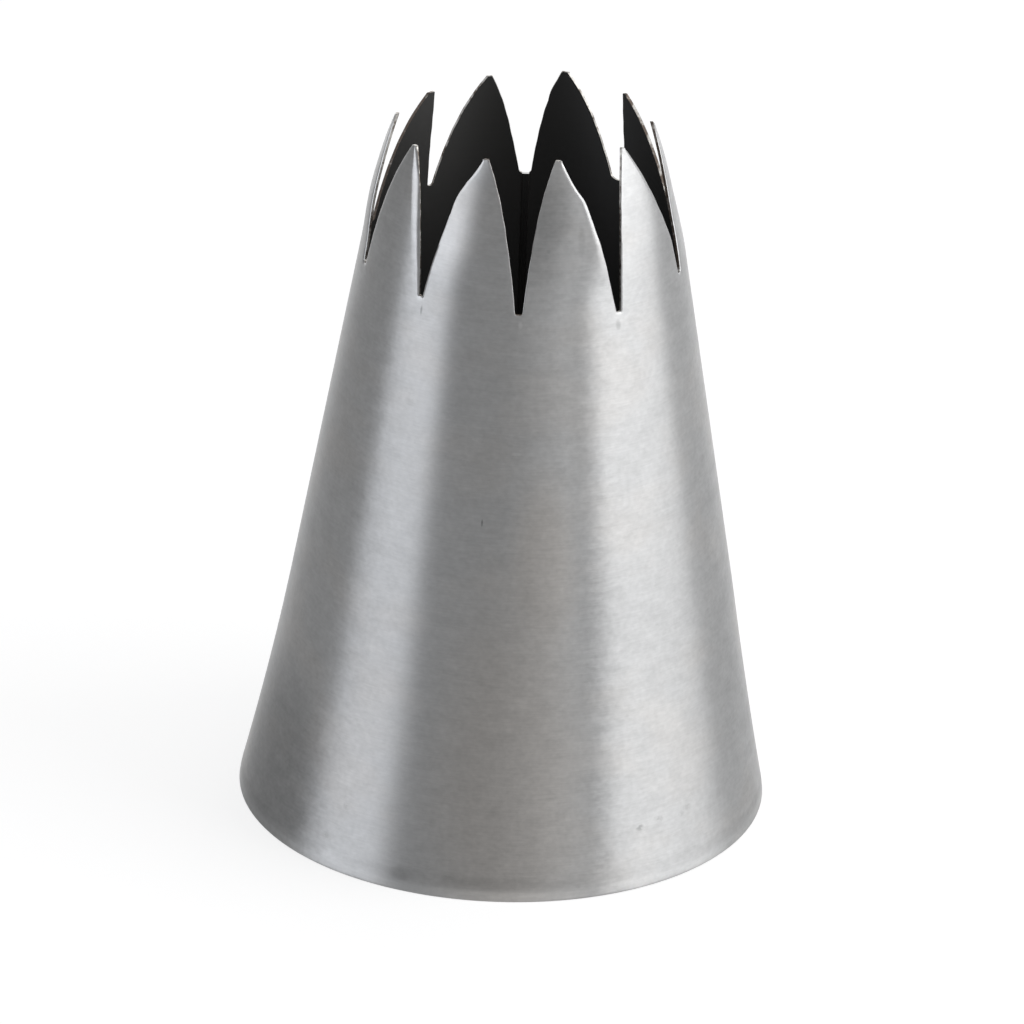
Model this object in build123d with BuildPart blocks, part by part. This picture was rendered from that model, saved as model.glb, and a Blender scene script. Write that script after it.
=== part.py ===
from build123d import *
from math import radians, sin
import os

# A large open-star piping nozzle. A blank of thin stainless sheet is rolled into a cone
# and closed by one weld down the back. Teeth are cut round its narrow end and bent in a
# little, and it stands on its wide end. Icing goes in at the wide end and out between
# the teeth. Lengths are in millimetres, angles in degrees. +Z is the nozzle's axis and
# Z = 0 the plane that it stands on. Teeth are counted anticlockwise from the one at +X,
# and notch n is the one between tooth n and the next.

# Sheet
wall = 0.25

# Cone, by its height and the radii of its outer face, from the foot up
height = 50.5
foot_radius = 18.65
skirt_height = 14.0
skirt_radius = 15.8
bend_length = 8.0
bend_radius = 10.78
tip_radius = 8.6
foot_edge_radius = 0.12

# Teeth, and the notches between them
tooth_count = 10
tooth_length = 10.9
tip_width = 0.4
tip_corner_radius = 0.1
notch_floor_width = 0.5
notch_corner_share = 0.36

# A flank is nearly straight above the floor and bows out to the tip. Its pull point
# stands this far across and this far up from the floor to the tip.
flank_pull_up_share = 0.67
flank_pull_across_shares = (0.37, 0.38, 0.4, 0.42, 0.37, 0.35, 0.32, 0.33, 0.37, 0.35)

# The teeth aren't cut evenly. Leans are shares of the pitch, anticlockwise, drops and
# rises are shares of a tooth's length, and widths are shares of a tip's and a floor's.
tip_lean_shares = (-0.03, 0.12, 0.02, 0.0, -0.14, 0.03, -0.09, 0.01, -0.1, -0.17)
tip_drop_shares = (0.04, 0.05, 0.0, 0.05, 0.09, 0.04, 0.093, 0.05, 0.04, 0.03)
tip_width_shares = (0.6, 0.6, 1.5, 1.0, 1.2, 1.0, 0.8, 1.0, 1.0, 0.7)
notch_lean_shares = (-0.02, -0.06, 0.0, 0.06, 0.04, -0.06, -0.035, -0.02, 0.0, 0.04)
notch_rise_shares = (0.16, 0.27, 0.22, 0.19, 0.12, 0.06, 0.06, 0.04, 0.01, 0.07)
notch_width_shares = (1.2, 2.0, 1.6, 0.9, 1.1, 1.0, 0.6, 1.0, 0.5, 1.0)

# Weld: ground flush outside, with a low bead inside
weld_width = 0.5
weld_bead_height = 0.1
weld_bead_edge_radius = 0.08

# How far the cuts run past the sheet, and from the axis out past every face
overrun = 1.0
cut_reach = foot_radius + skirt_radius + bend_radius

pitch_angle = 360 / tooth_count
weld_notch = tooth_count // 4


def share(shares, index):
    return shares[index % tooth_count % len(shares)]


def tip_angle(tooth):
    return (tooth + share(tip_lean_shares, tooth)) * pitch_angle


def tip_top(tooth):
    return height - share(tip_drop_shares, tooth) * tooth_length


def tip_across(tooth):
    return share(tip_width_shares, tooth) * tip_width


def notch_angle(notch):
    return (notch + 1 / 2 + share(notch_lean_shares, notch)) * pitch_angle


def notch_floor(notch):
    return height - (1 - share(notch_rise_shares, notch)) * tooth_length


def notch_across(notch):
    return share(notch_width_shares, notch) * notch_floor_width


def outward_plane(angle):
    """The plane on the axis that looks out at an angle: X across, Y up."""
    return Plane.YZ.rotated((0, 0, angle))


def face_corners(depth):
    """Points that shape the wall's face at a depth inside the outer one, from below the foot up."""
    foot = Vector(foot_radius, 0)
    skirt = Vector(skirt_radius, skirt_height)
    bend = Vector(bend_radius, height - bend_length)
    tip = Vector(tip_radius, height)
    rise = (bend - skirt).normalized()
    flare_pull = skirt - rise * skirt_height / 2
    curl_pull = bend + rise * bend_length / 2
    below = foot + (foot - flare_pull).normalized() * overrun
    above = tip + (tip - curl_pull).normalized() * overrun
    points = [below, foot, flare_pull, skirt, bend, curl_pull, tip, above]
    runs = [(end - start).normalized() for start, end in zip(points, points[1:])]
    corners = []
    for point, before, after in zip(points, runs[:1] + runs, runs + runs[-1:]):
        inward = (before + after).rotate(Axis.Z, 90)
        corners.append(point + inward * depth / (1 + before.dot(after)))
    return corners


def face_line(depth):
    """Draws the wall's face at a depth in the open line and returns its two ends."""
    below, foot, flare_pull, skirt, bend, curl_pull, tip, above = face_corners(depth)
    Line(below, foot)
    Bezier(foot, flare_pull, skirt)
    Line(skirt, bend)
    Bezier(bend, curl_pull, tip)
    Line(tip, above)
    return below, above


def wall_section(plane, depth):
    """The wall's section on a plane through the axis, from its outer face to depth inside it."""
    with BuildSketch(plane) as section:
        with BuildLine():
            outer_below, outer_above = face_line(0)
            inner_below, inner_above = face_line(depth)
            Line(outer_below, inner_below)
            Line(outer_above, inner_above)
        make_face()
        Rectangle(2 * cut_reach, height, align=(Align.CENTER, Align.MIN), mode=Mode.INTERSECT)
        outer_foot = section.vertices().group_by(Axis.Y)[0].sort_by(Axis.X)[-1]
        fillet(outer_foot, radius=foot_edge_radius)
    return section.sketch


def notch_flank(side, notch, tooth):
    """Draws a notch's edge in the open line, from its floor up past the tip beside it."""
    floor = notch_floor(notch)
    top = tip_top(tooth)
    middle = tip_radius * sin(radians(tip_angle(tooth) - notch_angle(notch)))
    start = side * notch_across(notch) / 2
    end = middle - side * tip_across(tooth) / 2
    shoulder = top - tip_corner_radius
    pull_across = start + (end - start) * share(flank_pull_across_shares, notch)
    pull_up = floor + (shoulder - floor) * flank_pull_up_share
    edge = Bezier((start, floor), (pull_across, pull_up), (end, shoulder))
    corner = TangentArc(edge @ 1, (end + side * tip_corner_radius, top), tangent=edge % 1)
    above = Line(corner @ 1, (end + side * tip_corner_radius, height + overrun))
    return edge @ 0, above @ 1


weld_plane = outward_plane(notch_angle(weld_notch))
with BuildSketch(weld_plane) as weld_face:
    with Locations((0, notch_floor(weld_notch))):
        Rectangle(weld_width, height, align=(Align.CENTER, Align.MAX))
weld_slot = weld_face.sketch

with BuildPart() as nozzle_shell:
    revolve(wall_section(Plane.YZ, wall), axis=Axis.Z)
    for notch in range(tooth_count):
        with BuildSketch(outward_plane(notch_angle(notch))) as notch_face:
            with BuildLine():
                left_floor, left_top = notch_flank(-1, notch, notch)
                right_floor, right_top = notch_flank(1, notch, notch + 1)
                Line(left_floor, right_floor)
                Line(left_top, right_top)
            make_face()
            corner_radius = notch_across(notch) * notch_corner_share
            fillet(notch_face.vertices().group_by(Axis.Y)[0], radius=corner_radius)
        extrude(amount=cut_reach, mode=Mode.SUBTRACT)
    for tooth in range(tooth_count):
        with BuildSketch(outward_plane(tip_angle(tooth))):
            with Locations((0, tip_top(tooth))):
                Rectangle(2 * tip_across(tooth), height, align=(Align.CENTER, Align.MIN))
        extrude(amount=cut_reach, mode=Mode.SUBTRACT)
    extrude(weld_slot, amount=cut_reach, mode=Mode.SUBTRACT)
nozzle_shell.part.label = "nozzle_shell"

with BuildPart() as seam_weld:
    revolve(wall_section(Plane.XZ, wall + weld_bead_height), axis=Axis.Z)
    extrude(weld_slot, amount=cut_reach, mode=Mode.INTERSECT)
    curved_faces = seam_weld.faces().filter_by(GeomType.PLANE, reverse=True)
    bead_faces = curved_faces.filter_by(lambda face: face.normal_at().dot(weld_plane.z_dir) < 0)
    bead_edges = bead_faces.edges().filter_by(lambda edge: edge.length > 2 * weld_width)
    fillet(bead_edges, radius=weld_bead_edge_radius)
seam_weld.part.label = "seam_weld"

os.makedirs("parts", exist_ok=True)
for piece in (nozzle_shell, seam_weld):
    export_step(piece.part, f"parts/{piece.part.label}.step")
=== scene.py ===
from math import asin, cos, pi, radians, sin, sqrt, tan

import bmesh
import bpy
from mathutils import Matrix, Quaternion, Vector


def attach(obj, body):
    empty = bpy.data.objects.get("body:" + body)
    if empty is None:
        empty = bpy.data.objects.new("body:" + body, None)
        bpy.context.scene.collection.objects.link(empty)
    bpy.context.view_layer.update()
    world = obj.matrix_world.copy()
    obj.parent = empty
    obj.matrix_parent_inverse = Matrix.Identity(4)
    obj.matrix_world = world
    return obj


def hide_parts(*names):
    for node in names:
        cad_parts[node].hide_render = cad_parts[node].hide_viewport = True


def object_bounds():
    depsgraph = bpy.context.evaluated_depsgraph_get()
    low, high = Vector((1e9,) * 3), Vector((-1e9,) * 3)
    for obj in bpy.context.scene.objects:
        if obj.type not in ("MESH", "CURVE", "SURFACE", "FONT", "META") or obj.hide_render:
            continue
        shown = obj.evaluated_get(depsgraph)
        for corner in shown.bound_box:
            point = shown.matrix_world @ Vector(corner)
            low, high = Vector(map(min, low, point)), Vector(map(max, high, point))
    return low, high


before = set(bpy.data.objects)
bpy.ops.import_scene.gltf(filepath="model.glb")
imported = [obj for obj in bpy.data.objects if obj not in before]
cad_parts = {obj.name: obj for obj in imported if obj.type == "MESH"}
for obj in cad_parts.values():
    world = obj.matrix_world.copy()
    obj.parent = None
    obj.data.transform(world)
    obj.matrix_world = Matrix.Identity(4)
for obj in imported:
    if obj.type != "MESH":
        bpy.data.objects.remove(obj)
cad_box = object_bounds()
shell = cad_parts["nozzle_shell"]
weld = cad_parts["seam_weld"]

mm = 0.001
height = cad_box[1][2]

# Camera. Its aim point lies on the nozzle's axis, about halfway up.
picture_side = 1024
sensor_width = 36.0
camera_distance = 398.86 * mm
camera_elevation = radians(23.353)
camera_roll = radians(1.958)
focal_pixels = 5750.0
aim_height = 25 * mm
aim_pixel = (513.99, 456.49)
clip_start = 10 * mm


def add_camera():
    """A long lens that looks down at the nozzle, turned so that the aim point falls on its pixel."""
    data = bpy.data.cameras.new("camera")
    data.sensor_width = sensor_width
    data.lens = focal_pixels * sensor_width / picture_side
    data.clip_start = clip_start
    aim = Vector((0, 0, aim_height))
    back = Vector((0, -cos(camera_elevation), sin(camera_elevation)))
    look = (-back).to_track_quat("-Z", "Y")
    roll = Quaternion((0, 0, 1), camera_roll)
    pan = Quaternion((0, 1, 0), (aim_pixel[0] - picture_side / 2) / focal_pixels)
    tilt = Quaternion((1, 0, 0), (aim_pixel[1] - picture_side / 2) / focal_pixels)
    camera = bpy.data.objects.new("camera", data)
    camera.rotation_mode = "QUATERNION"
    camera.rotation_quaternion = look @ pan @ tilt @ roll
    camera.location = aim + back * camera_distance
    bpy.context.scene.collection.objects.link(camera)
    bpy.context.scene.camera = camera


# The sheet's thickness, and the radii of its outer face from the foot up
wall = 0.25 * mm
foot_radius = 18.65 * mm
skirt_height = 14.0 * mm
skirt_radius = 15.8 * mm
bend_length = 8.0 * mm
bend_radius = 10.78 * mm
tip_radius = 8.6 * mm
foot_edge_radius = 0.12 * mm

# The rim is turned in a little just above the edge that it stands on
rim_height = 0.9 * mm
rim_turn_in = 0.06 * mm

# Teeth and notches, counted anticlockwise from the tooth at +X. Leans are shares of the pitch,
# anticlockwise, drops and rises are shares of a tooth's length, and widths of a tip's and a floor's.
tooth_count = 10
tooth_length = 10.9 * mm
tip_width = 0.4 * mm
tip_corner_radius = 0.1 * mm
notch_floor_width = 0.5 * mm
notch_corner_share = 0.36
flank_pull_up_share = 0.67
flank_pull_across_shares = (0.37, 0.38, 0.4, 0.42, 0.37, 0.35, 0.32, 0.33, 0.37, 0.35)
tip_lean_shares = (-0.03, 0.12, 0.02, 0.0, -0.14, 0.03, -0.09, 0.01, -0.1, -0.17)
tip_drop_shares = (0.04, 0.05, 0.0, 0.05, 0.09, 0.04, 0.093, 0.05, 0.04, 0.03)
tip_width_shares = (0.6, 0.6, 1.5, 1.0, 1.2, 1.0, 0.8, 1.0, 1.0, 0.7)
notch_lean_shares = (-0.02, -0.06, 0.0, 0.06, 0.04, -0.06, -0.035, -0.02, 0.0, 0.04)
notch_rise_shares = (0.16, 0.27, 0.22, 0.19, 0.12, 0.06, 0.06, 0.04, 0.01, 0.07)
notch_width_shares = (1.2, 2.0, 1.6, 0.9, 1.1, 1.0, 0.6, 1.0, 0.5, 1.0)
weld_notch = 2
weld_width = 0.5 * mm

# Shearing rolls the outer edge over, and leaves the inner one sharp. The teeth beside some
# notches were rubbed down more than others, which widens and deepens the roll.
roll_width = 0.28 * mm
roll_depth = 0.07 * mm
roll_least_share = 0.3
inner_edge = 0.02 * mm
notch_wear_shares = (0.6, 0.7, 0.5, 0.5, 0.6, 0.8, 0.7, 0.0, 0.55, 0.6)
# The cut edges beside each notch, and at the foot, are painted brighter by their own share: a painted
# highlight for how they catch the light
notch_highlight_shares = (0.5, 0.8, 0.6, 0.7, 0.2, 0.75, 0.5, 0.5, 0.75, 0.3)
foot_wear_share = 0.5
foot_highlight_share = 0.5

# One flank, by its notch and side, was rubbed flat at a slant, widest above its middle
facet_widths = {(6, -1): 0.34 * mm}
facet_slope = 0.36
facet_peak_share = 0.625

# Some teeth were bent out or in from the others over these heights, and some were twisted
bent_from = 40.8 * mm
bent_to = 45.2 * mm
tooth_strays = (-0.2 * mm, 0, 0, 0, 0, 0.16 * mm, 0, 0, 0, 0)
tooth_twists = (0, 0, 0, 0, 0, 0, 0, tan(radians(3.4)), tan(radians(6)), tan(radians(1.5)))

# The foot isn't quite true: it stands off to the left, and its front towards the camera
untrue_height = 16 * mm
untrue_curve = 1.3
foot_shift_left = 0.28 * mm
foot_shift_ahead = 0.22 * mm

# A flank wavers a little, as cut by hand
waver = 0.025 * mm
waver_length = 2.6 * mm
waver_beat = 3.7
waver_phase_step = 2.4

# Kinks where the shears were set again: notch and side, height, reach up and down, and how far
# they widen the tooth
kinks = (
    ((6, 1), 49.2 * mm, 0.9 * mm, -0.13 * mm),
    ((6, 1), 47.1 * mm, 0.9 * mm, 0.1 * mm),
    ((8, -1), 48.7 * mm, 1.2 * mm, -0.12 * mm),
    ((8, -1), 47.2 * mm, 0.8 * mm, 0.07 * mm),
    ((8, -1), 44.0 * mm, 7.0 * mm, -0.15 * mm),
    ((9, -1), 46.6 * mm, 3.6 * mm, -0.36 * mm),
    ((0, 1), 45.6 * mm, 3.6 * mm, -0.18 * mm),
    ((1, 1), 45.0 * mm, 6.0 * mm, -0.16 * mm),
    ((2, -1), 48.8 * mm, 0.9 * mm, 0.06 * mm),
    ((2, -1), 46.0 * mm, 5.0 * mm, 0.1 * mm),
    ((2, 1), 46.0 * mm, 5.0 * mm, -0.09 * mm),
)

# How finely the sheet is divided
tooth_columns = 24
tooth_rows = 36
roll_steps = 3
floor_steps = 6
body_rows = 48
rim_rows = 8
join_distance = mm / 1000
sharp_angle = radians(30)

pitch = 2 * pi / tooth_count
bend_height = height - bend_length
lean = (skirt_radius - bend_radius) / (bend_height - skirt_height)


def bezier(start, pull, end, t):
    return start * (1 - t) ** 2 + 2 * pull * (1 - t) * t + end * t**2


def between(first, last, share):
    return first + (last - first) * share


def clamped(share):
    return min(max(share, 0), 1)


def outer_radius(up):
    """The radius of the outer face at a height: a flared skirt, a straight cone and teeth bent in."""
    if up < skirt_height:
        flare_pull = skirt_radius + lean * skirt_height / 2
        return bezier(foot_radius, flare_pull, skirt_radius, up / skirt_height)
    if up < bend_height:
        return skirt_radius - lean * (up - skirt_height)
    curl_pull = bend_radius - lean * bend_length / 2
    return bezier(bend_radius, curl_pull, tip_radius, (up - bend_height) / bend_length)


def face_radius(up, depth):
    """The radius at a height of the face that lies at a depth in the sheet."""
    step = mm / 10
    slope = (outer_radius(up + step) - outer_radius(up - step)) / (2 * step)
    turned_in = rim_turn_in * max(1 - up / rim_height, 0) ** 2
    return outer_radius(up) - turned_in - depth * sqrt(1 + slope**2)


def stand(angle, up, depth):
    """The place at an angle and a height on the face at a depth, with the shift of the foot."""
    radius = face_radius(up, depth)
    shift = max(1 - up / untrue_height, 0) ** untrue_curve
    left = foot_shift_left * shift
    ahead = foot_shift_ahead * (1 - sin(angle)) / 2 * shift
    return Vector((radius * cos(angle) - left, radius * sin(angle) - ahead, up))


def both_depths(outer, at_cut):
    """The depths of the outer face and of the inner one, which has a small edge at the cut."""
    return outer, wall - inner_edge if at_cut else wall


def notch_angle(notch):
    return (notch + 0.5 + notch_lean_shares[notch % tooth_count]) * pitch


def tip_angle(tooth):
    return (tooth + tip_lean_shares[tooth % tooth_count]) * pitch


class Flank:
    """One edge of a notch. Its places are (across, up), across from the notch's middle to the tooth."""

    def __init__(self, notch, side):
        tooth = (notch + (side + 1) // 2) % tooth_count
        place = notch % tooth_count
        self.angle_at_notch = notch_angle(notch)
        self.side = side
        self.phase = place * waver_phase_step + side
        self.floor = height - (1 - notch_rise_shares[place]) * tooth_length
        self.shoulder = height - tip_drop_shares[tooth] * tooth_length - tip_corner_radius
        self.start = notch_floor_width * notch_width_shares[place] / 2
        self.corner = 2 * self.start * notch_corner_share
        turn = tip_angle(notch + (side + 1) // 2) - self.angle_at_notch
        self.end = tip_radius * sin(abs(turn)) - tip_width * tip_width_shares[tooth] / 2
        self.roll = roll_least_share + notch_wear_shares[place]
        self.facet = facet_widths.get((place, side), 0)
        self.kinks = [kink[1:] for kink in kinks if kink[0] == (place, side)]
        self.pull = between(self.start, self.end, flank_pull_across_shares[place])
        self.corner_share = self.corner / (2 * flank_pull_up_share * (self.shoulder - self.floor))

    def along(self, share):
        """A place on the flank, from the top of the notch's corner to the tip's corner."""
        t = between(self.corner_share, 1, share)
        pull_up = between(self.floor, self.shoulder, flank_pull_up_share)
        up = bezier(self.floor, pull_up, self.shoulder, t)
        waves = up / waver_length
        shake = sin(waves * 2 * pi + self.phase) * sin(waves * waver_beat + self.phase)
        unevenness = waver * shake * 4 * share * (1 - share)
        for kink_up, reach, widening in self.kinks:
            unevenness -= widening * max(1 - ((up - kink_up) / reach) ** 2, 0)
        return bezier(self.start, self.pull, self.end, t) + unevenness, up

    def rolled(self, step, share=0):
        """How far in from the cut, and how deep, the rolled edge is at a step from the cut at 0."""
        turn = step / roll_steps * pi / 2
        facet = self.facet * sin(pi / 2 * share / facet_peak_share)
        margin = self.roll * roll_width * (1 - cos(turn)) + facet * step / roll_steps
        slant = facet * facet_slope * (1 - step / roll_steps)
        return margin, self.roll * roll_depth * (1 - sin(turn)) + slant

    def tip_corner(self, share):
        turn = share * pi / 2
        across = self.end + tip_corner_radius * (1 - cos(turn))
        return across, self.shoulder + tip_corner_radius * sin(turn)

    def floor_corner(self, step, margin):
        """A place beside the notch's floor, from its middle at step 0 round its corner to the flank."""
        across, up = self.along(0)
        flat = self.start - self.corner
        if step == 0:
            return 0, self.floor - margin
        turn = (step - 1) / (floor_steps - 1) * pi / 2
        return flat + (across + margin - flat) * sin(turn), up - (up - self.floor + margin) * cos(turn)

    def angle(self, across, up, depth):
        return self.angle_at_notch + self.side * asin(across / face_radius(up, depth))


def lay_grid(bm, columns, rows, spot):
    """Adds a grid of faces. Each corner goes to its place outside, and holds the one inside."""
    inner = bm.verts.layers.float_vector["inner"]
    wear = bm.verts.layers.float["edge_wear"]
    shine = bm.verts.layers.float["edge_highlight"]
    for vert in bmesh.ops.create_grid(bm, x_segments=columns, y_segments=rows, size=0.5)["verts"]:
        column = round((vert.co.x + 0.5) * columns)
        row = round((vert.co.y + 0.5) * rows)
        vert.co, vert[inner], vert[wear], vert[shine] = spot(column, row)


def lay_tooth(bm, tooth):
    right, left = Flank(tooth - 1, 1), Flank(tooth, -1)
    rows = tooth_rows + roll_steps

    def edges_at(row):
        if row <= tooth_rows:
            return [flank.along(row / tooth_rows) for flank in (right, left)]
        return [flank.tip_corner((row - tooth_rows) / roll_steps) for flank in (right, left)]

    def spot(column, row):
        step = min(column, tooth_columns - column, roll_steps)
        to_cut = min(step, rows - row)
        share = clamped((column - roll_steps) / (tooth_columns - 2 * roll_steps))
        nearest = left if share > 0.5 else right
        along = min(row / tooth_rows, 1)
        worn = max(nearest.rolled(step, along)[1], nearest.rolled(min(rows - row, roll_steps))[1])
        places = edges_at(row)
        bare = [flank.angle(*place, 0) for flank, place in zip((right, left), places)]
        room = (bare[1] - bare[0]) / 2 * outer_radius(places[0][1])
        spots = []
        for depth in both_depths(worn, at_cut=to_cut == 0):
            angles = []
            for flank, (across, up) in zip((right, left), places):
                margin, widest = flank.rolled(step, along)[0], flank.rolled(roll_steps, along)[0]
                angles.append(flank.angle(across + margin * min(room / (2 * widest), 1), up, depth))
            up = between(places[0][1], places[1][1], share)
            bent = clamped((up - bent_from) / (bent_to - bent_from))
            stray = tooth_strays[tooth] + tooth_twists[tooth] * room * 2 * (share - 0.5)
            stray *= bent**2 * (3 - 2 * bent)
            spots.append(stand(between(angles[0], angles[1], share), up, depth - stray))
        notch = tooth if share > 0.5 else (tooth - 1) % tooth_count
        wear = notch_wear_shares[notch] * (1 - min(to_cut, roll_steps) / roll_steps)
        return *spots, wear, notch_highlight_shares[notch]

    lay_grid(bm, tooth_columns, rows, spot)


def lay_notch_floor(bm, notch):
    sides = (Flank(notch, -1), Flank(notch, 1))

    def spot(column, row):
        flank = sides[column >= floor_steps]
        step = roll_steps - row
        margin, worn = flank.rolled(step)
        across, up = flank.floor_corner(abs(column - floor_steps), margin)
        spots = []
        for depth in both_depths(worn, at_cut=step == 0):
            spots.append(stand(flank.angle(across, up, depth), up, depth))
        return *spots, notch_wear_shares[notch] * row / roll_steps, notch_highlight_shares[notch]

    lay_grid(bm, 2 * floor_steps, roll_steps, spot)


def lay_body(bm, tooth):
    right, left = Flank(tooth - 1, 1), Flank(tooth, -1)
    columns = 2 * floor_steps + tooth_columns - 2 * roll_steps

    def height_at(row, top):
        if row <= roll_steps:
            return foot_edge_radius * (1 - cos(row / roll_steps * pi / 2))
        if row <= roll_steps + rim_rows:
            return between(foot_edge_radius, rim_height, (row - roll_steps) / rim_rows)
        above_rim = (row - roll_steps - rim_rows) / (body_rows - roll_steps - rim_rows)
        return between(rim_height, top, above_rim)

    def spot(column, row):
        turn = min(row / roll_steps, 1) * pi / 2
        steps = (min(column, floor_steps), min(columns - column, floor_steps))
        share = clamped((column - floor_steps) / (columns - 2 * floor_steps))
        spots = []
        for depth in both_depths(foot_edge_radius * (1 - sin(turn)), at_cut=row == 0):
            ends = []
            for flank, step in zip((right, left), steps):
                across, top = flank.floor_corner(step, flank.roll * roll_width)
                up = height_at(row, top)
                ends.append((flank.angle(across, up, depth), up))
            angle = between(ends[0][0], ends[1][0], share)
            spots.append(stand(angle, between(ends[0][1], ends[1][1], share), depth))
        return *spots, foot_wear_share * max(1 - row / roll_steps, 0), foot_highlight_share

    lay_grid(bm, columns, body_rows, spot)


def open_slot(bm):
    """Cuts the sheet from the weld's notch to the foot, where the weld lies."""
    out = Vector((cos(notch_angle(weld_notch)), sin(notch_angle(weld_notch)), 0))
    across = Vector((-out.y, out.x, 0))
    for side in (-1, 1):
        behind = [face for face in bm.faces if face.calc_center_median().dot(out) > 0]
        edges = list({edge for face in behind for edge in face.edges})
        verts = list({vert for face in behind for vert in face.verts})
        geom = behind + edges + verts
        plane = across * side * weld_width / 2
        bmesh.ops.bisect_plane(bm, geom=geom, dist=join_distance, plane_co=plane, plane_no=across)
    slot = []
    for face in bm.faces:
        middle = face.calc_center_median()
        if middle.dot(out) > 0 and abs(middle.dot(across)) < weld_width / 2:
            slot.append(face)
    bmesh.ops.delete(bm, geom=slot, context="FACES")


def nozzle_sheet():
    """The whole sheet: ten strips, each with its tooth and a notch's floor, given their thickness."""
    bm = bmesh.new()
    bm.verts.layers.float_vector.new("inner")
    bm.verts.layers.float.new("edge_wear")
    bm.verts.layers.float.new("edge_highlight")
    for index in range(tooth_count):
        lay_tooth(bm, index)
        lay_notch_floor(bm, index)
        lay_body(bm, index)
    bmesh.ops.remove_doubles(bm, verts=bm.verts[:], dist=join_distance)
    open_slot(bm)
    inner = bm.verts.layers.float_vector["inner"]
    thick = bmesh.ops.extrude_face_region(bm, geom=bm.faces[:], use_keep_orig=True)
    for vert in [part for part in thick["geom"] if isinstance(part, bmesh.types.BMVert)]:
        vert.co = vert[inner]
    bm.verts.layers.float_vector.remove(inner)
    bmesh.ops.recalc_face_normals(bm, faces=bm.faces[:])
    return bm


class Value:
    """A number that varies over a surface: an expression on values adds its Math nodes."""

    def __init__(self, tree, socket):
        self.tree = tree
        self.socket = socket

    def maths(self, operation, *others, before=False):
        node = self.tree.nodes.new("ShaderNodeMath")
        node.operation = operation
        terms = (*others, self) if before else (self, *others)
        for place, term in zip(node.inputs, terms):
            if isinstance(term, Value):
                self.tree.links.new(term.socket, place)
            else:
                place.default_value = term
        return Value(self.tree, node.outputs[0])

    def __add__(self, other):
        return self.maths("ADD", other)

    def __sub__(self, other):
        return self.maths("SUBTRACT", other)

    def __mul__(self, other):
        return self.maths("MULTIPLY", other)

    def __rsub__(self, other):
        return self.maths("SUBTRACT", other, before=True)

    def __neg__(self):
        return self * -1

    def __abs__(self):
        return self.maths("ABSOLUTE")

    __radd__ = __add__
    __rmul__ = __mul__


class Nodes:
    """A node tree that a finish is built in."""

    def __init__(self, tree):
        self.tree = tree
        tree.nodes.clear()

    def node(self, kind, settings=None, inputs=None, output=0):
        """Adds a node, sets it, fills its inputs by name or number, and returns one output."""
        node = self.tree.nodes.new("ShaderNode" + kind)
        for key, value in (settings or {}).items():
            setattr(node, key, value)
        for key, value in (inputs or {}).items():
            if isinstance(value, Value):
                self.tree.links.new(value.socket, node.inputs[key])
            else:
                node.inputs[key].default_value = value
        return Value(self.tree, node.outputs[output])

    def vector(self, operation, first, second=(0, 0, 0), output="Vector"):
        return self.node("VectorMath", {"operation": operation}, {0: first, 1: second}, output)

    def length(self, vector):
        return self.vector("LENGTH", vector, output="Value")

    def dot(self, first, second):
        return self.vector("DOT_PRODUCT", first, second, "Value")

    def scaled(self, vector, share):
        inputs = {"Vector": vector, "Scale": share}
        return self.node("VectorMath", {"operation": "SCALE"}, inputs, "Vector")

    def blend(self, share, first, second):
        """A colour that goes from the first at 0 to the second at 1."""
        sockets = {"Factor": share, 6: first, 7: second}
        return self.node("Mix", {"data_type": "RGBA"}, sockets, 2)

    def rise(self, value, low, high):
        """Goes smoothly from 0 at the low value to 1 at the high one."""
        inputs = {"Value": value, "From Min": low, "From Max": high}
        return self.node("MapRange", {"interpolation_type": "SMOOTHSTEP"}, inputs)

    def noise(self, place, across, tall, detail=2.0):
        """Noise about 0, whose grains have these lengths across and up in millimetres."""
        stretched = self.vector("DIVIDE", place, (across * mm, across * mm, tall * mm))
        return self.node("TexNoise", {}, {"Vector": stretched, "Scale": 1.0, "Detail": detail}) - 0.5

    def spot(self, place, turn, level, across, tall):
        """1 in the core of a mark on the outer face, and 0 past its size across and up."""
        away = self.vector("SUBTRACT", place, stand(radians(turn), level * mm, 0))
        away = self.vector("DIVIDE", away, (across * mm, across * mm, tall * mm))
        return 1 - self.rise(self.length(away), spot_core_share, 1.0)

    def faces(self, place):
        """The way out from the axis at a place, and how far its face looks out and how far in."""
        out = self.vector("NORMALIZE", self.vector("MULTIPLY", place, (1, 1, 0)))
        facing = self.dot(self.node("NewGeometry", output="Normal"), out)
        return out, self.rise(facing, *facing_stretch), self.rise(-facing, *facing_stretch)

    def end(self, shader, kind="OutputMaterial"):
        output = self.tree.nodes.new("ShaderNode" + kind)
        self.tree.links.new(shader.socket, output.inputs["Surface"])


def grey(level, warmth=0.0):
    return (level * (1 + warmth), level, level * (1 - warmth), 1)


# Colours of the steel, and of its bare cut edges
steel_level = 0.56
steel_warmth_stretch = (-0.05, 0.2)
least_warmth = -0.006
most_warmth = 0.008
film_warmth = 0.032
cut_bright = (0.62, 0.6, 0.57, 1)
cut_brown = (0.16, 0.13, 0.11, 1)
cut_speck = (0.5, 0.9)
cut_grain_share = 0.8
# How far the painted highlight on the cut edges brightens them over the brown stain
cut_highlight_share = 0.5
cut_stretch = (-0.12, 0.2)
# The inside is painted near black: painted shade for the unlit inside of the steel
inside_painted_shade = (0.084, 0.083, 0.082, 1)
weld_level = 0.5
heat_straw = (0.55, 0.47, 0.34, 1)
facing_stretch = (0.3, 0.5)

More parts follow.
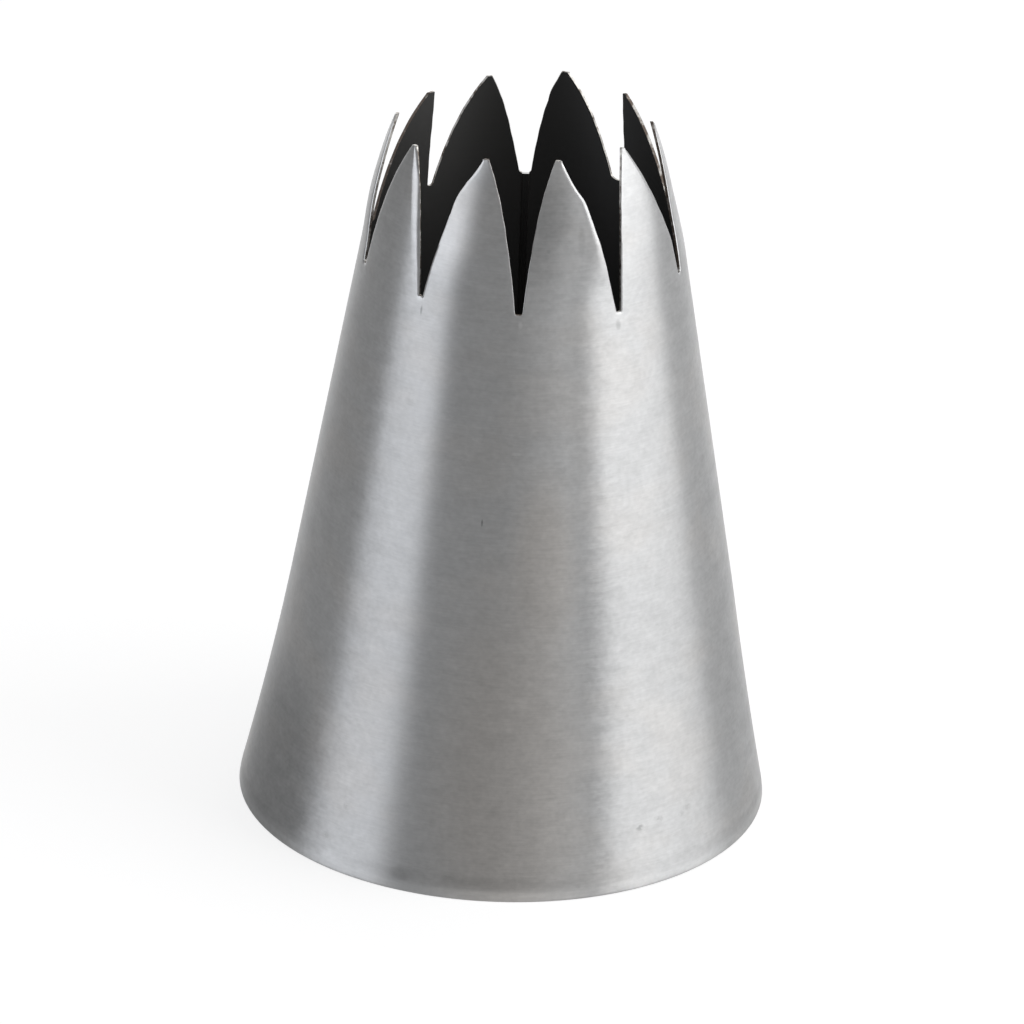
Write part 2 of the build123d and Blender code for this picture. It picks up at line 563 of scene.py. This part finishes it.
# The brushing's grains: lengths across and up in millimetres and detail, and how far each one
# varies the brightness and tilts the face
textures = {
    "hair": (1.1, 0.1, 2.0, 0.14, 0.022),
    "stroke": (2.6, 0.2, 2.0, 0.12, 0.018),
    "band": (9, 0.9, 2.0, 0.04, 0.015),
    "cloud": (7, 5, 3.0, 0.12, 0),
    "mottle": (1.7, 0.9, 2.0, 0.22, 0.014),
    "grain": (0.4, 0.28, 2.0, 0.24, 0.03),
}
steel_roughness = 0.41
weld_roughness = 0.38
inside_roughness = 0.86
roughness_spread = 0.1
wear_polish = 0.12

# Small marks on the outer face, then soft lighter and darker patches low on the cone, the last two
# painted light at the foot's front: degrees round, millimetres up, sizes across and up in millimetres,
# and how much brighter they are
spot_core_share = 0.3
marks = (
    (261.1, 25.9, 0.09, 0.45, -0.45),
    (270, 30.7, 0.5, 0.16, 0.12),
    (234, 39.4, 0.12, 0.55, -0.35),
    (270, 39.4, 0.2, 0.4, 0.15),
    (305, 38.9, 0.28, 0.5, -0.2),
    (287, 49.8, 0.3, 0.3, 0.5),
    (279.5, 44.3, 0.25, 0.22, -0.2),
    (292, 44.5, 0.35, 2.6, -0.14),
    (281, 47.0, 1.9, 3.2, -0.2),
    (277, 43.5, 1.6, 3.4, -0.1),
    (240, 45.0, 1.6, 4.0, 0.12),
    (219, 2.4, 2.6, 2.0, -0.1),
    (202, 5.0, 9.0, 9.0, -0.24),
    (248.5, 1.2, 1.1, 0.7, -0.16),
    (231, 1.0, 1.2, 0.6, 0.14),
    # A painted shade band, and under it a painted highlight strip, across the front of the foot
    (268, 1.35, 7.5, 0.5, -0.06),
    (270, 0.3, 8.0, 0.7, 0.22),
)

# Pitted places: degrees round, millimetres up, and how dark their pits are
pits = (
    (302.5, 4.2, 0.34),
    (308, 4.4, 0.2),
    (314.5, 4.2, 0.16),
    (316.5, 4.5, 0.14),
    (328, 4.2, 0.1),
    (233, 4.6, 0.16),
    (229, 2.2, 0.14),
)
pit_size = (0.42, 0.32)
pit_stretch = (-0.1, 0.05)

# Places with a faint warm film, given like the marks
warm_films = (
    (271, 8, 7, 22),
    (278.5, 23, 3, 10),
)

# The rim has a painted highlight, under a painted shade line at a crease, and both waver with the
# mottling
rim_painted_highlight = 0.15
rim_highlight_height = 0.5 * mm
rim_waver = 0.5 * mm
crease_height = 1.25 * mm
crease_reach = 0.5 * mm
crease_shade = 0.05
crease_waver = 0.6 * mm


def brushed_sheet():
    """Stainless sheet: brushed round the cone outside, dull inside and painted near black there as
    painted shade, bare on its cut edges.
    """
    material = bpy.data.materials.new("brushed_sheet")
    material.use_nodes = True
    nodes = Nodes(material.node_tree)
    place = nodes.node("TexCoord", output="Object")
    up = nodes.node("SeparateXYZ", {}, {0: place}, "Z")
    normal = nodes.node("NewGeometry", output="Normal")
    wear = nodes.node("Attribute", {"attribute_name": "edge_wear"}, output="Fac")
    shine = nodes.node("Attribute", {"attribute_name": "edge_highlight"}, output="Fac")
    out, outside, inside = nodes.faces(place)
    along = nodes.vector("CROSS_PRODUCT", (0, 0, 1), out)

    noises = {}
    light = 1
    tilt = 0
    for name, (across, tall, detail, brightness, slope) in textures.items():
        noises[name] = nodes.noise(place, across, tall, detail)
        light = light + noises[name] * brightness
        tilt = tilt + noises[name] * slope
    grain = noises["grain"]

    # A painted highlight along the rim, and a painted shade line at the crease above it
    rim = 1 - nodes.rise(up + noises["mottle"] * rim_waver, rim_highlight_height, rim_height)
    from_crease = abs(up + noises["mottle"] * crease_waver - crease_height)
    light = light + rim * rim_painted_highlight - (1 - nodes.rise(from_crease, 0, crease_reach)) * crease_shade
    for *mark, strength in marks:
        light = light + nodes.spot(place, *mark) * strength
    for turn, level, strength in pits:
        pitted = nodes.spot(place, turn, level, *pit_size) * nodes.rise(grain, *pit_stretch)
        light = light - pitted * strength
    warmth = nodes.rise(noises["cloud"], *steel_warmth_stretch)
    steel = nodes.blend(warmth, grey(1, least_warmth), grey(1, most_warmth))
    for film in warm_films:
        steel = nodes.blend(nodes.spot(place, *film), steel, grey(1, film_warmth))
    lit = light * steel_level
    steel = nodes.vector("MULTIPLY", steel, nodes.node("CombineXYZ", {}, {0: lit, 1: lit, 2: lit}))

    speck = nodes.noise(place, *cut_speck) + grain * cut_grain_share
    # The cut edges mix brown stain with bare steel, and are painted brighter beside some notches as a
    # painted highlight
    stain = nodes.rise(speck + (shine - 0.5) * cut_highlight_share, *cut_stretch)
    cut = nodes.blend(stain, cut_brown, cut_bright)
    colour = nodes.blend(outside, cut, steel)
    # Faces that look inward take the painted near-black shade
    colour = nodes.blend(inside, colour, inside_painted_shade)

    rough = steel_roughness + (noises["stroke"] + noises["cloud"]) * roughness_spread - wear * wear_polish
    rough = rough + inside * (inside_roughness - steel_roughness)
    turned = nodes.vector("NORMALIZE", nodes.vector("ADD", normal, nodes.scaled(along, tilt * outside)))
    relief = noises["hair"] + grain * 0.6
    bump = {"Strength": 0.5, "Distance": 0.004 * mm, "Height": relief, "Normal": turned}
    shader = {"Base Color": colour, "Metallic": 1.0, "Roughness": rough}
    shader |= {"Anisotropic": 0.9, "Anisotropic Rotation": 0.25, "Normal": nodes.node("Bump", {}, bump)}
    nodes.end(nodes.node("BsdfPrincipled", {}, shader))
    return material


def ground_weld():
    """The weld: ground along the seam outside, with a faint straw tint in patches, and painted near black
    inside as painted shade.
    """
    material = bpy.data.materials.new("ground_weld")
    material.use_nodes = True
    nodes = Nodes(material.node_tree)
    place = nodes.node("TexCoord", output="Object")
    hair = nodes.noise(place, 0.05, 1.2)
    ripple = nodes.noise(place, 0.6, 0.35)
    tint = nodes.rise(nodes.noise(place, 2, 3), 0.0, 0.25)
    colour = nodes.blend(tint * 0.5, grey(weld_level), heat_straw)
    inside = nodes.faces(place)[2]
    colour = nodes.blend(inside, colour, inside_painted_shade)
    bump = nodes.node("Bump", {}, {"Strength": 0.6, "Distance": 0.006 * mm, "Height": hair + ripple})
    rough = weld_roughness + hair * 0.15 + ripple * 0.1
    rough = rough + inside * (inside_roughness - weld_roughness)
    shader = {"Base Color": colour, "Metallic": 1.0, "Roughness": rough, "Normal": bump}
    nodes.end(nodes.node("BsdfPrincipled", {}, shader))
    return material


def finish_piece(bm, name, material):
    """Turns a bmesh into an object at the origin, smooth but for its real edges."""
    mesh = bpy.data.meshes.new(name)
    bm.to_mesh(mesh)
    bm.free()
    mesh.polygons.foreach_set("use_smooth", [True] * len(mesh.polygons))
    mesh.set_sharp_from_angle(angle=sharp_angle)
    mesh.materials.append(material)
    piece = bpy.data.objects.new(name, mesh)
    bpy.context.scene.collection.objects.link(piece)
    return piece


sheet_finish = brushed_sheet()
sheet = finish_piece(nozzle_sheet(), "nozzle_sheet", sheet_finish)
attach(sheet, "root")
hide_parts("nozzle_shell")

for node, material in ((shell, sheet_finish), (weld, ground_weld())):
    node.data.materials.clear()
    node.data.materials.append(material)

add_camera()

# Floor: white to the camera, wide enough for every view of the nozzle
floor_radius = 0.6
floor_segments = 96
floor_colour = 0.4
floor_glow = 0.72
glow_in_metal_share = 0.2


def add_floor():
    material = bpy.data.materials.new("white_floor")
    material.use_nodes = True
    nodes = Nodes(material.node_tree)
    seen = nodes.node("LightPath", output="Is Camera Ray")
    glossy = nodes.node("LightPath", output="Is Glossy Ray")
    transmitted = nodes.node("LightPath", output="Is Transmission Ray")
    glow = (seen + (glossy + transmitted) * glow_in_metal_share) * floor_glow
    shine = nodes.node("Emission", {}, {"Color": grey(1), "Strength": glow})
    paper = nodes.node("BsdfDiffuse", {}, {"Color": grey(floor_colour)})
    nodes.end(nodes.node("AddShader", {}, {0: shine, 1: paper}))
    bm = bmesh.new()
    bmesh.ops.create_circle(bm, cap_ends=True, segments=floor_segments, radius=floor_radius)
    floor = finish_piece(bm, "floor", material)


add_floor()


# Lamps, and how far off and how tall they are
lamp_distance = 0.5
lamp_height = 0.6


def add_softbox(name, azimuth, half_angle, level, colour):
    """A tall lamp beside the nozzle, at an azimuth from the camera's side, as bright as its level."""
    data = bpy.data.lights.new(name, "AREA")
    data.shape = "RECTANGLE"
    data.size = 2 * lamp_distance * tan(radians(half_angle))
    data.size_y = lamp_height
    data.energy = level * pi * data.size * data.size_y
    data.color = colour
    lamp = bpy.data.objects.new(name, data)
    turn = radians(azimuth)
    lamp.location = (sin(turn) * lamp_distance, -cos(turn) * lamp_distance, lamp_height / 2)
    facing = Vector((-sin(turn), cos(turn), 0))
    lamp.rotation_euler = facing.to_track_quat("-Z", "Y").to_euler()
    lamp.visible_camera = False
    bpy.context.scene.collection.objects.link(lamp)


add_softbox("left_softbox", -69.5, 18.5, 1.54, (0.972, 1.0, 1.055))
add_softbox("right_softbox", 78, 28, 1.65, (1.0, 1.0, 1.0))

# The room's light. Each glow is a strength and the stretch over which it rises: towards the
# right, behind, behind on the right, and a shade towards the left. The last are strips ahead on
# the right, with their stretches to the right and ahead.
room_level = 0.322
right_glow = (0.56, -0.2, 0.68)
behind_glow = (1.6, 0.68, 1.0)
corner_glow = (0.1, 1.2, 1.4)
left_shade = (-0.08, 0.5, 0.9)
strips = (
    (0.17, (0.35, 0.55), (0.3, 0.7)),
    (0.22, (0.42, 0.54), (0.74, 0.82)),
)
ahead_stretch = (0.75, 1.0)
ahead_warmth = 0.01

# Dark flags stand beside the softboxes: their azimuths, and degrees to their edge and their core
flag_azimuths = (-43, 40)
flag_edge = 5
flag_core = 1
flag_shade = 0.8


def add_room():
    """A pale room, darker on the left of the camera and lighter on the right and behind."""
    world = bpy.data.worlds.new("studio")
    bpy.context.scene.world = world
    world.use_nodes = True
    nodes = Nodes(world.node_tree)
    way = nodes.node("TexCoord", output="Generated")
    right = nodes.node("SeparateXYZ", {}, {0: way}, "X")
    behind = nodes.node("SeparateXYZ", {}, {0: way}, "Y")
    level = room_level
    sides = (right, behind, right + behind, -right)
    for side, (strength, low, high) in zip(sides, (right_glow, behind_glow, corner_glow, left_shade)):
        level = level + nodes.rise(side, low, high) * strength
    for strength, rightwards, ahead in strips:
        level = level + nodes.rise(right, *rightwards) * nodes.rise(-behind, *ahead) * strength
    flat = nodes.vector("NORMALIZE", nodes.vector("MULTIPLY", way, (1, 1, 0)))
    for azimuth in flag_azimuths:
        turn = radians(azimuth)
        facing = nodes.dot(flat, (sin(turn), -cos(turn), 0))
        flag = nodes.rise(facing, cos(radians(flag_edge)), cos(radians(flag_core)))
        level = level * (1 - flag * flag_shade)
    seen = nodes.node("LightPath", output="Is Camera Ray")
    level = nodes.node("Mix", {}, {"Factor": seen, 2: level, 3: 1.0})
    ahead = nodes.rise(-behind, *ahead_stretch) * (1 - seen)
    colour = nodes.blend(ahead, grey(1), grey(1, ahead_warmth))
    nodes.end(nodes.node("Background", {}, {"Color": colour, "Strength": level}), "OutputWorld")


add_room()

bpy.context.scene.view_settings.view_transform = "Standard"
